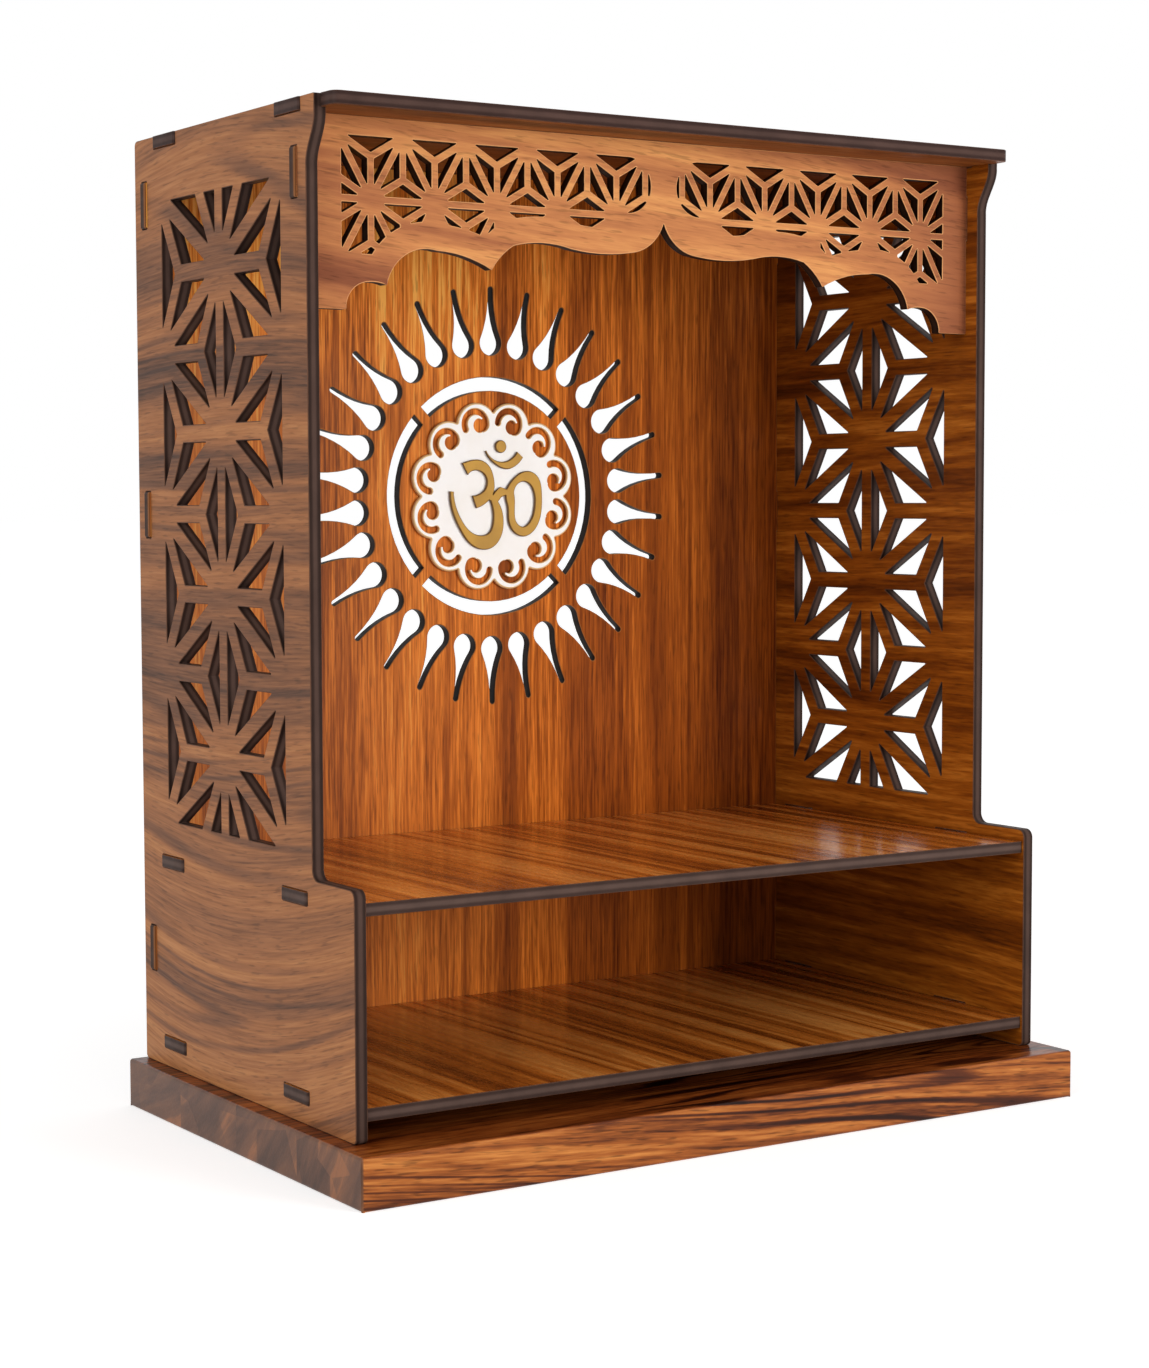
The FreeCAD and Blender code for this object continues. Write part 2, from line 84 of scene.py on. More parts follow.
# The floor's colour, how far it reaches in metres, and the light that it adds where it is looked at
floor_colour = (232, 232, 232)
floor_reach = 40.0
floor_glow = 0.52

# Lamps, in metres and watts, and the strength of the light all round
lamp_aim = (0, 0, 0.3)
key_place = (1.2, -2.45, 0.5)
key_size = 1.2
key_power = 50
fill_place = (-2.75, -1.1, 0.8)
fill_size = 1.6
fill_power = 34
light_all_round = 0.6


def srgb(red, green, blue):
    """Linear colour from the three values of a screen colour, each from 0 to 255."""
    shares = [value / 255 for value in (red, green, blue)]
    linear = [((share + 0.055) / 1.055) ** 2.4 if share > 0.04 else share / 12.92 for share in shares]
    return (*linear, 1.0)


def in_place(name, mesh, node):
    """A finished mesh as a piece that stands for a node and rides on the one body."""
    piece = bpy.data.objects.new(name, mesh)
    bpy.context.scene.collection.objects.link(piece)
    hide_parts(node)
    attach(piece, "root")


# Surfaces


def top_border(node, axis):
    """The border of a board's upper face: which point follows each, and the points in the plane.

    The node's triangles that lie in the top plane are kept, and an edge that only one of them has
    is on the border.
    """
    mesh = nodes[node].data
    points = np.empty(len(mesh.vertices) * 3)
    mesh.vertices.foreach_get("co", points)
    corners = np.empty(len(mesh.loops), int)
    mesh.loops.foreach_get("vertex_index", corners)
    microns = np.round(points.reshape(-1, 3) * microns_in_metre).astype(int)
    places, index = np.unique(microns, axis=0, return_inverse=True)
    triangles = index.reshape(-1)[corners.reshape(-1, 3)]
    top = places[:, axis] >= places[:, axis].max() - 1
    triangles = triangles[top[triangles].all(axis=1)]
    edges = np.concatenate([triangles[:, [0, 1]], triangles[:, [1, 2]], triangles[:, [2, 0]]])
    ahead = edges[:, 0] * len(places) + edges[:, 1]
    behind = edges[:, 1] * len(places) + edges[:, 0]
    follow = dict(edges[~np.isin(ahead, behind)].tolist())
    return follow, places[:, [(axis + 1) % 3, (axis + 2) % 3]] / microns_in_metre


def face_loops(node, axis):
    """Closed loops round a board's upper face and round each opening, with the wood on their left."""
    follow, plane = top_border(node, axis)
    loops = []
    while follow:
        start, here = follow.popitem()
        loop = [start]
        while here != start:
            loop.append(here)
            here = follow.pop(here)
        loops.append(plane[loop])
    return loops


def softened(loop, bevel):
    """A loop with its corners rounded, and at each point the way to move for a parallel loop.

    A corner of turn t becomes an arc of radius r that starts r tan(t/2) before it. Along the arc
    the way inwards is the normal turned by a share of t; elsewhere it is the mitre of the two
    normals, their sum divided by one plus their product.
    """
    after = np.roll(loop, -1, axis=0) - loop
    length = np.hypot(after[:, 0], after[:, 1])
    run = after / length[:, None]
    inward = np.stack([-run[:, 1], run[:, 0]], axis=1)
    run_before = np.roll(run, 1, axis=0)
    inward_before = np.roll(inward, 1, axis=0)
    turn = np.arctan2(run_before[:, 0] * run[:, 1] - run_before[:, 1] * run[:, 0],
                      (run_before * run).sum(axis=1))
    radius = np.where(turn > 0, outside_round * bevel, inside_round)
    room = corner_room * np.minimum(length, np.roll(length, 1))
    radius = np.minimum(radius, room / np.tan(np.abs(turn) / 2 + 1e-9))
    rounded = (np.abs(turn) > corner_turn) & ((turn < 0) | (radius > 1.02 * bevel))
    count = np.where(rounded, corner_points, 1)
    pick = np.repeat(np.arange(len(loop)), count)
    step = np.arange(len(pick)) - np.repeat(np.cumsum(count) - count, count)
    share = step / (corner_points - 1)
    angle = np.where(rounded[pick], share * turn[pick], 0)
    start = inward_before[pick]
    bent = np.stack([start[:, 0] * np.cos(angle) - start[:, 1] * np.sin(angle),
                     start[:, 0] * np.sin(angle) + start[:, 1] * np.cos(angle)], axis=1)
    mitre = (inward_before + inward) / (1 + (inward_before * inward).sum(axis=1))[:, None]
    mitre = mitre / np.maximum(1, np.hypot(mitre[:, 0], mitre[:, 1]) / longest_mitre)[:, None]
    way = np.where(rounded[pick][:, None], bent, mitre[pick])
    side = np.sign(turn[pick])[:, None]
    reach = (radius * np.tan(np.abs(turn) / 2))[pick][:, None]
    centre = loop[pick] - run_before[pick] * reach + side * start * radius[pick][:, None]
    points = np.where(rounded[pick][:, None], centre - side * bent * radius[pick][:, None], loop[pick])
    return points, way


def room_inside(points, way, samples):
    """Radius of the largest circle that touches the border at each point from inside.

    A circle through the point and a sample, with its centre along the way inwards, has a radius of
    the squared gap over twice the gap's reach along that way; the smallest of these is kept.
    """
    unit = way / np.hypot(way[:, 0], way[:, 1])[:, None]
    gap = samples[None, :, :] - points[:, None, :]
    square = (gap ** 2).sum(axis=2)
    reach = (gap * unit[:, None, :]).sum(axis=2)
    ahead = reach > least_inwards * np.sqrt(square) + 1e-7
    return np.where(ahead, square / np.where(ahead, 2 * reach, 1), 1.0).min(axis=1)


def cap_triangles(points, follow):
    """Triangles that fill a face between its loops, each running round the face's own way.

    Of all the triangles between the points, those stay whose centre the loops go round: an edge
    that crosses the level of the centre to its right counts one up or one down.
    """
    edges = np.stack([np.arange(len(points)), follow], axis=1).tolist()
    millimetres = [Vector(point) for point in points * millimetres_in_metre]
    made = geometry.delaunay_2d_cdt(millimetres, edges, [], 0, 1e-6, True)
    if len(made[0]) != len(points):
        raise ValueError("two edges of a face cross: %d points, now %d" % (len(points), len(made[0])))
    original = np.array([ids[0] for ids in made[3]])
    triangles = original[np.array(made[2])]
    a, b, c = (points[triangles[:, k]] for k in range(3))
    twice = (b[:, 0] - a[:, 0]) * (c[:, 1] - a[:, 1]) - (b[:, 1] - a[:, 1]) * (c[:, 0] - a[:, 0])
    triangles[twice < 0] = triangles[twice < 0][:, ::-1]
    centre = ((a + b + c) / 3)[:, None, :]
    start = points[None, :, :] - centre
    end = points[follow][None, :, :] - centre
    up = (start[:, :, 1] <= 0) & (end[:, :, 1] > 0)
    down = (start[:, :, 1] > 0) & (end[:, :, 1] <= 0)
    cross = start[:, :, 0] * end[:, :, 1] - start[:, :, 1] * end[:, :, 0]
    rounds = (up & (cross > 0)).sum(axis=1) - (down & (cross < 0)).sum(axis=1)
    return triangles[rounds > 0]


def border(node, axis, bevel, opening_share):
    """All points round a board's face, the way each moves inwards, and which point follows it.

    The way is a mitre, times the bevel for the parallel loop, and shorter in a narrow place. The
    widest loop is the board's outline; round the others, its openings, a share of the way is kept.
    """
    loops = face_loops(node, axis)
    widest = max(np.ptp(loop[:, 0]) for loop in loops)
    shares = [1.0 if np.ptp(loop[:, 0]) == widest else opening_share for loop in loops]
    parts = [softened(loop, bevel) for loop in loops]
    points = np.concatenate([part[0] for part in parts])
    onward = np.concatenate([np.roll(part[0], -1, axis=0) for part in parts])
    samples = np.concatenate([points + step * (onward - points) for step in (0, 0.25, 0.5, 0.75)])
    room = np.concatenate([room_inside(*part, samples) for part in parts])
    way = np.concatenate([part[1] * share for part, share in zip(parts, shares)])
    way = way * np.minimum(1, kept_room * room / bevel)[:, None]
    ends = np.cumsum([len(part[0]) for part in parts])
    follow = np.arange(1, len(points) + 1)
    follow[ends - 1] = np.concatenate([[0], ends[:-1]])
    return points, way, follow


def profile(bevel, half):
    """A board's edge from its upper face down: distance inwards, height and the normal's rise.

    A quarter circle of the bevel's radius leads from each face to the wall between them.
    """
    angle = np.radians([90, 60, 30, 0])
    distance = bevel * (1 - np.cos(angle))
    height = half - bevel * (1 - np.sin(angle))
    rise = np.sin(angle)
    return (np.concatenate([distance, [0], distance[::-1]]),
            np.concatenate([height, [0], -height[::-1]]), np.concatenate([rise, [0], -rise[::-1]]))


def in_frame(axis, through, first, second):
    """Vectors of the frame from their numbers through a board and along its plane's two axes."""
    vectors = np.empty((*first.shape, 3))
    vectors[..., axis] = through
    vectors[..., (axis + 1) % 3] = first
    vectors[..., (axis + 2) % 3] = second
    return vectors


def wall_faces(rings, follow):
    """Faces of four corners between each ring of points and the next one down."""
    count = len(follow)
    ring = np.arange(rings - 1)[:, None] * count
    here = np.arange(count)
    strips = np.stack([ring + here, ring + count + here, ring + count + follow, ring + follow], axis=2)
    return strips.reshape(-1, 4)


def board(name, node, axis, bevel, finishes, opening_share=1.0):
    """A board cut like its node, with its edges eased: the profile carried round every loop.

    The finishes are those of the upper face, the lower face and the walls. The attribute inset runs
    from 0 at a face to 1 at the middle of the wall.
    """
    low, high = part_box(node)
    half = (high[axis] - low[axis]) / 2
    points, way, follow = border(node, axis, bevel, opening_share)
    distance, height, rise = (numbers[:, None] for numbers in profile(bevel, half))
    place = in_frame(axis, (high[axis] + low[axis]) / 2 + height, points[:, 0] + distance * way[:, 0],
                     points[:, 1] + distance * way[:, 1])
    outward = -way / np.hypot(way[:, 0], way[:, 1])[:, None]
    level = np.sqrt(1 - rise ** 2)
    normal = in_frame(axis, rise, level * outward[:, 0], level * outward[:, 1])
    walls = wall_faces(len(distance), follow)
    cap = cap_triangles(points + bevel * way, follow)
    under = cap[:, ::-1] + (len(distance) - 1) * len(points)
    faces = [*cap.tolist(), *under.tolist(), *walls.tolist()]
    mesh = bpy.data.meshes.new(name)
    mesh.from_pydata(place.reshape(-1, 3).tolist(), [], faces)
    kind = np.repeat([0, 1, 2], [len(cap), len(under), len(walls)])
    mesh.polygons.foreach_set("material_index", kind)
    mesh.polygons.foreach_set("use_smooth", np.ones(len(faces), bool))
    inset = mesh.attributes.new("inset", "FLOAT", "POINT")
    share = np.repeat(1 - np.abs(height) / half, len(points))
    inset.data.foreach_set("value", share.astype(np.float32))
    mesh.update()
    mesh.normals_split_custom_set_from_vertices(normal.reshape(-1, 3).tolist())
    for finish in finishes:
        mesh.materials.append(finish)
    in_place(name, mesh, node)


def eased_stave(name, node, finish):
    """A copy of a stave with a quarter circle along each edge of the plinth's outside.

    Such an edge has its middle on two of the plinth's faces. An edge at a glued seam has it on one
    or none, and stays sharp.
    """
    corners = np.array([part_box(stave) for stave in staves])
    shape = bmesh.new()
    shape.from_mesh(nodes[node].data)
    bmesh.ops.remove_doubles(shape, verts=shape.verts, dist=1e-6)
    bmesh.ops.dissolve_limit(shape, angle_limit=0.01, verts=shape.verts, edges=shape.edges)
    middles = np.array([(edge.verts[0].co + edge.verts[1].co) / 2 for edge in shape.edges])
    lowest = corners[:, 0].min(axis=0)
    highest = corners[:, 1].max(axis=0)
    outside = (np.abs(middles - lowest) < 1e-5) | (np.abs(middles - highest) < 1e-5)
    rounded = [edge for edge, faces in zip(shape.edges, outside.sum(axis=1)) if faces > 1]
    bmesh.ops.bevel(shape, geom=rounded, offset=plinth_round, segments=4, profile=0.5, affect="EDGES")
    mesh = bpy.data.meshes.new(name)
    shape.to_mesh(mesh)
    shape.free()
    mesh.materials.append(finish)
    in_place(name, mesh, node)


# Material nodes


def new_material(name):
    """A node material, its tree and its shader."""
    material = bpy.data.materials.new(name)
    material.use_nodes = True
    return material, material.node_tree, material.node_tree.nodes["Principled BSDF"]


def object_coordinates(tree):
    """A place in the object's own coordinates, which are the frame's, in metres."""
    return tree.nodes.new("ShaderNodeTexCoord").outputs["Object"]


def inset_of(tree):
    """A board's own attribute: 0 at its faces and 1 at the middle of its walls."""
    attribute = tree.nodes.new("ShaderNodeAttribute")
    attribute.attribute_name = "inset"
    return attribute.outputs["Fac"]


def wire(tree, kind, inputs, **settings):
    """A node with its settings, and each input either linked or set; gives its first output."""
    made = tree.nodes.new(kind)
    for name, value in settings.items():
        setattr(made, name, value)
    for name, value in inputs.items():
        if isinstance(value, bpy.types.NodeSocket):
            tree.links.new(value, made.inputs[name])
        else:
            made.inputs[name].default_value = value
    return made.outputs[0]


def calc(tree, operation, first, second=0.0, third=0.0):
    """A number worked out from up to three others."""
    return wire(tree, "ShaderNodeMath", {0: first, 1: second, 2: third}, operation=operation)


def spread(tree, value, low, high, to_low=0.0, to_high=1.0):
    """A range of a value stretched to another range, and held at its ends."""
    return wire(tree, "ShaderNodeMapRange", {"Value": value, "From Min": low, "From Max": high,
                                             "To Min": to_low, "To Max": to_high})


def noise(tree, coordinates, scale, detail):
    """Even noise of so many patches a metre."""
    return wire(tree, "ShaderNodeTexNoise", {"Vector": coordinates, "Scale": scale, "Detail": detail})


def parts_of(tree, vector):
    """The three numbers of a vector."""
    split = tree.nodes.new("ShaderNodeSeparateXYZ")
    tree.links.new(vector, split.inputs[0])
    return split.outputs


def moved_across(tree, plane, push):
    """The grain's plane with a distance added across the grain."""
    shift = wire(tree, "ShaderNodeCombineXYZ", {"Y": push})
    return wire(tree, "ShaderNodeVectorMath", {0: plane, 1: shift}, operation="ADD")


def grain_plane(tree, coordinates, along, across, through=None, tilt=0.0):
    """Coordinates along and across the grain, turned by a tilt, and through the board if asked."""
    split = parts_of(tree, coordinates)
    numbers = {"X": split[along], "Y": split[across]}
    if through is not None:
        numbers["Z"] = split[through]
    plane = wire(tree, "ShaderNodeCombineXYZ", numbers)
    return wire(tree, "ShaderNodeMapping", {"Vector": plane, "Rotation": (0, 0, tilt)})


def streaks(tree, plane, along, across, detail=2.0, roughness=0.5, through=0.0, seed=0.0):
    """Noise drawn out along the grain: so many patches a metre along it, across it and through it."""
    stretched = wire(tree, "ShaderNodeMapping", {"Vector": plane, "Scale": (along, across, through),
                                                 "Location": (seed, seed * 0.7, seed * 1.3)})
    return wire(tree, "ShaderNodeTexNoise", {"Vector": stretched, "Scale": 1.0, "Detail": detail,
                                             "Roughness": roughness})


def bowed(tree, plane, middle, reach, level, height):
    """Grain that bows: it rises by the square of its distance from the middle, over the reach.

    The rise is the height times how far the place lies below the level, so that above the level the
    grain bows the other way.
    """
    split = parts_of(tree, plane)
    off = calc(tree, "MULTIPLY_ADD", split[0], 1 / reach, -middle / reach)
    square = calc(tree, "MULTIPLY", off, off)
    above = calc(tree, "MULTIPLY_ADD", split[1], height, -height * level)
    return moved_across(tree, plane, calc(tree, "MULTIPLY", square, above))


def wavy(tree, plane, waves, seed):
    """The grain's plane pushed across the grain by slow noise: each wave is along, across, metres."""
    for along, across, reach in waves:
        push = streaks(tree, plane, along, across, 1.0, 0.5, 0.0, seed)
        plane = moved_across(tree, plane, calc(tree, "MULTIPLY_ADD", push, reach, -reach / 2))
        seed += 3.1
    return plane


def tones(tree, value, stops):
    """Colours at shares of a value."""
    ramp = tree.nodes.new("ShaderNodeValToRGB")
    tree.links.new(value, ramp.inputs[0])
    elements = ramp.color_ramp.elements
    while len(elements) < len(stops):
        elements.new(0.5)
    for element, (share, colour) in zip(elements, stops):
        element.position = share
        element.color = srgb(*colour)
    return ramp.outputs[0]


def shaded(tree, coordinates, shades):
    """Tone that changes steadily over a board; a shade is an axis, two places on it and their tones."""
    place = parts_of(tree, coordinates)
    tone = 1.0
    # On the back panel and the valance these tones are painted light and shade
    for axis, start, end, start_tone, end_tone in shades:
        change = spread(tree, place[axis], start, end, start_tone, end_tone)
        tone = calc(tree, "MULTIPLY", change, tone)
    return tone


def heartwood(tree, plane, low, high, dark_bands):
    """Tone across a board: 1, and less at each dark band, a place with a half width and a depth.

    The bands come and go along the grain.
    """
    across = parts_of(tree, plane)[1]
    ramp = tree.nodes.new("ShaderNodeValToRGB")
    tree.links.new(spread(tree, across, low, high), ramp.inputs[0])
    ramp.color_ramp.interpolation = "EASE"
    elements = ramp.color_ramp.elements
    for element in elements:
        element.color = (0, 0, 0, 1)
    for place, half_width, depth in dark_bands:
        for edge, tone in ((place - half_width, 0), (place, depth), (place + half_width, 0)):
            elements.new((edge - low) / (high - low)).color = (tone, tone, tone, 1)
    comes = streaks(tree, plane, 5.0, 14.0, 1.0, 0.5, 0.0, 3.3)
    comes = spread(tree, comes, 0.34, 0.56, 0.25, 1.0)
    return calc(tree, "SUBTRACT", 1.0, calc(tree, "MULTIPLY", ramp.outputs[0], comes))


def growth_lines(tree, plane, along, across, count, strength, through, seed):
    """Tone of thin dark lines: where the sine of a stretched noise, times a count of turns, is high."""
    field = streaks(tree, plane, along, across, 1.0, 0.4, through, seed)
    turns = calc(tree, "SINE", calc(tree, "MULTIPLY", field, count * 2 * math.pi))
    line = spread(tree, turns, 0.35, 0.95, 0.0, strength)
    comes = streaks(tree, plane, 4.0, 45.0, 2.0, 0.5, 0.0, seed + 1)
    comes = spread(tree, comes, 0.36, 0.6)
    return calc(tree, "SUBTRACT", 1.0, calc(tree, "MULTIPLY", line, comes))


def mixed(tree, share, first, second, blend="MIX"):
    """Two colours mixed by a share."""
    made = tree.nodes.new("ShaderNodeMix")
    made.data_type = "RGBA"
    made.blend_type = blend
    for socket, value in ((made.inputs[0], share), (made.inputs[6], first), (made.inputs[7], second)):
        if isinstance(value, bpy.types.NodeSocket):
            tree.links.new(value, socket)
        else:
            socket.default_value = value
    return made.outputs[2]


def grain(tree, plane, stops, bands, lines, rings, heartwood_and_painted_light=1.0, shares=(0.4, 0.34, 0.26),
          fibres=(40.0, 480.0), seed=0.0, depth=0.0, clear=0.56, pores=0.3):
    """Colour of wood, with its fibres and pores as numbers.

    The tone is the sum of three noises by their shares: slow bands, finer lines and fibres, all
    drawn out along the grain. The bands are cut off at clear, so that most of the board keeps its
    lighter tone. Growth lines and a heartwood tone darken it in places; painted light and shade come
    with the heartwood tone where a board is given them. The stops turn the tone into colours, and
    short dark pores lie over them.
    """
    band = streaks(tree, plane, *bands, 2.0, 0.45, bands[1] * depth, seed)
    band = spread(tree, band, 0.3, clear)
    line = streaks(tree, plane, *lines, 3.0, 0.6, lines[1] * depth, seed + 5)
    line = spread(tree, line, 0.3, 0.66)
    fine = streaks(tree, plane, *fibres, 2.0, 0.6, fibres[1] * depth, seed + 9)
    fine = spread(tree, fine, 0.32, 0.68)
    tone = calc(tree, "MULTIPLY", band, shares[0])
    tone = calc(tree, "MULTIPLY_ADD", line, shares[1], tone)
    tone = calc(tree, "MULTIPLY_ADD", fine, shares[2], tone)
    growth = growth_lines(tree, plane, *rings, rings[1] * depth, seed + 13)
    tone = calc(tree, "MULTIPLY", tone, growth)
    colour = tones(tree, calc(tree, "MULTIPLY", tone, heartwood_and_painted_light), stops)
    pore = streaks(tree, plane, 75.0, 760.0, 1.0, 0.5, 760.0 * depth, seed + 2)
    pore = spread(tree, pore, 0.58, 0.7)
    colour = mixed(tree, 1.0, colour, spread(tree, pore, 0, 1, 1, 1 - pores), "MULTIPLY")
    return colour, fine, pore


def surfaced(tree, shader, colour, roughness, height, strength, distance):
    """The shader's colour, roughness and bump, from nodes."""
    bump = wire(tree, "ShaderNodeBump", {"Height": height, "Strength": strength, "Distance": distance})
    tree.links.new(colour, shader.inputs["Base Color"])
    tree.links.new(roughness, shader.inputs["Roughness"])
    tree.links.new(bump, shader.inputs["Normal"])


def lacquered(tree, shader, colour, fine, pore, gloss, coat):
    """Clear lacquer over wood: fibres make it rougher, and the pores are sunk in it."""
    roughness = calc(tree, "MULTIPLY_ADD", fine, -0.1, gloss + 0.05)
    relief = calc(tree, "MULTIPLY_ADD", pore, -0.8, fine)
    surfaced(tree, shader, colour, roughness, relief, 0.3, 0.00006)
    shader.inputs["Coat Weight"].default_value = coat
    shader.inputs["Coat Roughness"].default_value = 0.16
    shader.inputs["Specular IOR Level"].default_value = 0.12


def veneer(name, along, across, stops, waves, bands, lines, rings, tilt=0.0, seed=0.0, gloss=0.42,
           coat=0.0, bow=None, dark_bands=None, shades=(), tint=None, **grain_settings):
    """A lacquered board face: its grain in two of the object's coordinates, wavy and bowed.

    A tint is a colour and the shades whose product is its share. The shades multiply the tone; on the
    back panel and the valance they are painted light and shade.
    """
    material, tree, shader = new_material(name)
    coordinates = object_coordinates(tree)
    plane = grain_plane(tree, coordinates, along, across, None, tilt)
    if bow is not None:
        plane = bowed(tree, plane, *bow)
    plane = wavy(tree, plane, waves, seed)
    # Painted light and shade, where a board is given them, join its heartwood tone
    heartwood_and_painted_light = shaded(tree, coordinates, shades)
    if dark_bands is not None:
        heartwood_and_painted_light = calc(tree, "MULTIPLY", heartwood(tree, plane, *dark_bands), heartwood_and_painted_light)
    colour, fine, pore = grain(tree, plane, stops, bands, lines, rings, heartwood_and_painted_light, seed=seed,
                               **grain_settings)
    if tint is not None:
        colour = mixed(tree, shaded(tree, coordinates, tint[1]), colour, srgb(*tint[0]))
    lacquered(tree, shader, colour, fine, pore, gloss, coat)
    return material


def solid_stave(name, seed, end_turn):
    """A solid stave: its grain runs through it along X, and its two ends show the cut grain.

    The cut grain is a patchwork of cells, each with a tone of its own, under streaks and flecks.
    The top is darker than the front, a painted shade under the cabinet.
    """
    material, tree, shader = new_material(name)
    coordinates = object_coordinates(tree)
    plane = wavy(tree, grain_plane(tree, coordinates, X, Z, Y, grain_tilt), stave_waves, seed)
    colour, fine, pore = grain(tree, plane, stave_stops, (2.0, 60.0), (5.0, 230.0),
                               (1.1, 20.0, 24, 0.9), shares=(0.3, 0.46, 0.24), fibres=(45.0, 700.0),
                               seed=seed, depth=1.0, clear=0.6, pores=0.45)
    cut = wavy(tree, grain_plane(tree, coordinates, Y, Z, None, end_turn), end_waves, seed)
    cell = wire(tree, "ShaderNodeTexVoronoi", {"Vector": cut, "Scale": 26.0}, feature="F1")
    cell = parts_of(tree, cell.node.outputs["Color"])[0]
    patch = streaks(tree, cut, 14.0, 60.0, 2.0, 0.45, 0.0, seed)
    patch = spread(tree, patch, 0.36, 0.64)
    fleck = streaks(tree, cut, 60.0, 330.0, 3.0, 0.6, 0.0, seed + 3)
    fleck = spread(tree, fleck, 0.3, 0.7)
    end = calc(tree, "MULTIPLY_ADD", fleck, 0.24, calc(tree, "MULTIPLY", patch, 0.46))
    end = tones(tree, calc(tree, "MULTIPLY_ADD", cell, 0.3, end), end_stops)
    place = parts_of(tree, coordinates)
    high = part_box(staves[0])[1]
    # Painted shade on the stave's top, under the cabinet
    painted_shade_on_top = spread(tree, place[Z], high[Z] - 0.0009, high[Z] - 0.0001)
    colour = mixed(tree, painted_shade_on_top, colour, stave_top_painted_shade, "MULTIPLY")
    outwards = calc(tree, "ABSOLUTE", place[X])
    at_end = spread(tree, outwards, high[X] - 0.0012, high[X] - 0.0004)
    colour = mixed(tree, at_end, colour, end)
    lacquered(tree, shader, colour, fine, pore, 0.33, 0.12)
    return material


def cut_edge(name, rim, dark, middle, upright=None):
    """The wall of a laser cut: a painted highlight where it turns from the face, then scorched, and a
    painted highlight along its middle.

    Where an upright board is named, the ends of its tenons are brown, and warmer to the front.
    """
    material, tree, shader = new_material(name)
    coordinates = object_coordinates(tree)
    scorch = noise(tree, coordinates, 210.0, 3.0)
    shifted = calc(tree, "MULTIPLY_ADD", scorch, 0.12, inset_of(tree))
    shifted = calc(tree, "SUBTRACT", shifted, 0.06)
    # Painted highlights at the wall's edge and middle, with the scorched dark between
    colour = tones(tree, shifted, [(0.0, rim), (0.05, rim), (0.14, dark), (0.45, dark), (0.8, middle),
                                   (1.0, middle)])
    cloud = spread(tree, noise(tree, coordinates, 60.0, 4.0), 0.3, 0.7, 0.82, 1.1)
    colour = mixed(tree, 1.0, colour, cloud, "MULTIPLY")
    if upright is not None:
        low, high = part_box(upright)
        place = parts_of(tree, coordinates)
        end = tones(tree, spread(tree, place[Y], low[Y], high[Y]), tenon_end_stops)
        outwards = calc(tree, "ABSOLUTE", place[X])
        at_end = spread(tree, outwards, high[X] - 0.0011, high[X] - 0.0007)
        colour = mixed(tree, at_end, colour, end)
    surfaced(tree, shader, colour, spread(tree, scorch, 0.3, 0.7, 0.44, 0.6), scorch, 0.2, 0.0001)
    shader.inputs["Specular IOR Level"].default_value = 0.08
    return material


def lacquer(name, base, shade, edge, gloss, metal=0.0):
    """Painted board: a colour with faint clouds, and another tone where the edge turns."""
    material, tree, shader = new_material(name)
    coordinates = object_coordinates(tree)
    cloud = noise(tree, coordinates, 38.0, 3.0)
    colour = tones(tree, cloud, [(0.3, shade), (0.62, base)])
    turned = spread(tree, inset_of(tree), 0.0, 0.07)
    colour = mixed(tree, turned, colour, srgb(*edge))
    roughness = spread(tree, cloud, 0.3, 0.7, gloss - 0.05, gloss + 0.08)
    surfaced(tree, shader, colour, roughness, noise(tree, coordinates, 900.0, 2.0), 0.15, 0.00005)
    shader.inputs["Metallic"].default_value = metal
    return material


# Dark bands of the two largest faces, in metres: the range across the board, then each band's
# place, half width and depth
side_hearts = (0.02, 0.58, [(0.075, 0.008, 0.3), (0.205, 0.006, 0.25), (0.300, 0.009, 0.3),
                            (0.372, 0.007, 0.35), (0.430, 0.009, 0.45), (0.505, 0.011, 0.35)])
back_hearts = (-0.24, 0.24, [(-0.19, 0.02, 0.2), (0.009, 0.010, 0.45), (0.060, 0.012, 0.15),
                             (0.128, 0.022, 0.25), (0.1525, 0.002, 0.6), (0.182, 0.007, 0.35),
                             (0.205, 0.012, 0.2)])

# Steady changes of tone: an axis, two places on it and their tones. Some of them are painted light and
# shade, as said at each.
side_shades = [(Z, 0.14, 0.2, 1.0, 0.9)]
# The back panel's tone is painted light and shade: darker to the right, a painted shadow of the right
# side, darker low down, and much lighter at the top, a painted pool of light under the arch
back_painted_light = [(X, -0.12, 0.13, 1.0, 0.58), (Z, 0.2, 0.4, 0.84, 0.95), (Z, 0.41, 0.49, 1.0, 1.36)]
# The back panel's tint mixes a darker, greyer colour into its left part, fading out to the right and
# under the painted pool of light at the top
back_tint = ((118, 82, 64), [(X, -0.2, 0.03, 0.48, 0.0), (Z, 0.43, 0.49, 1.0, 0.2)])
# The valance's tone is painted shade: darker towards its left end and much darker towards its right end
valance_painted_shade = [(X, -0.22, -0.1, 0.8, 1.0), (X, 0.12, 0.215, 1.0, 0.32)]

# Waves of the grain: how many along it and across it in a metre, and how far they push it, in metres
side_waves = [(2.0, 6.0, 0.022), (7.0, 20.0, 0.005)]
back_waves = [(1.2, 6.0, 0.012), (6.0, 30.0, 0.0025)]
rear_waves = [(1.2, 6.0, 0.02), (6.0, 30.0, 0.004)]
valance_waves = [(2.2, 7.0, 0.016), (8.0, 22.0, 0.004)]
shelf_waves = [(1.4, 6.0, 0.014), (6.0, 22.0, 0.003)]
roof_waves = [(1.6, 5.0, 0.03), (6.0, 16.0, 0.006)]
roof_under_waves = [(1.6, 5.0, 0.02), (6.0, 16.0, 0.005)]
stave_waves = [(1.8, 8.0, 0.03), (7.0, 22.0, 0.006)]
end_waves = [(14.0, 18.0, 0.02)]

# How the left and right sides' grain bows: its middle, reach and level in metres, and its height
side_bow = (0.04, 0.13, 0.35, 0.07)

# The turn of the valance's and the plinth's grain
grain_tilt = math.radians(5)

# Painted shade under the cabinet: what a stave's top keeps of the red, green and blue of its front
stave_top_painted_shade = (0.62, 0.46, 0.34, 1)

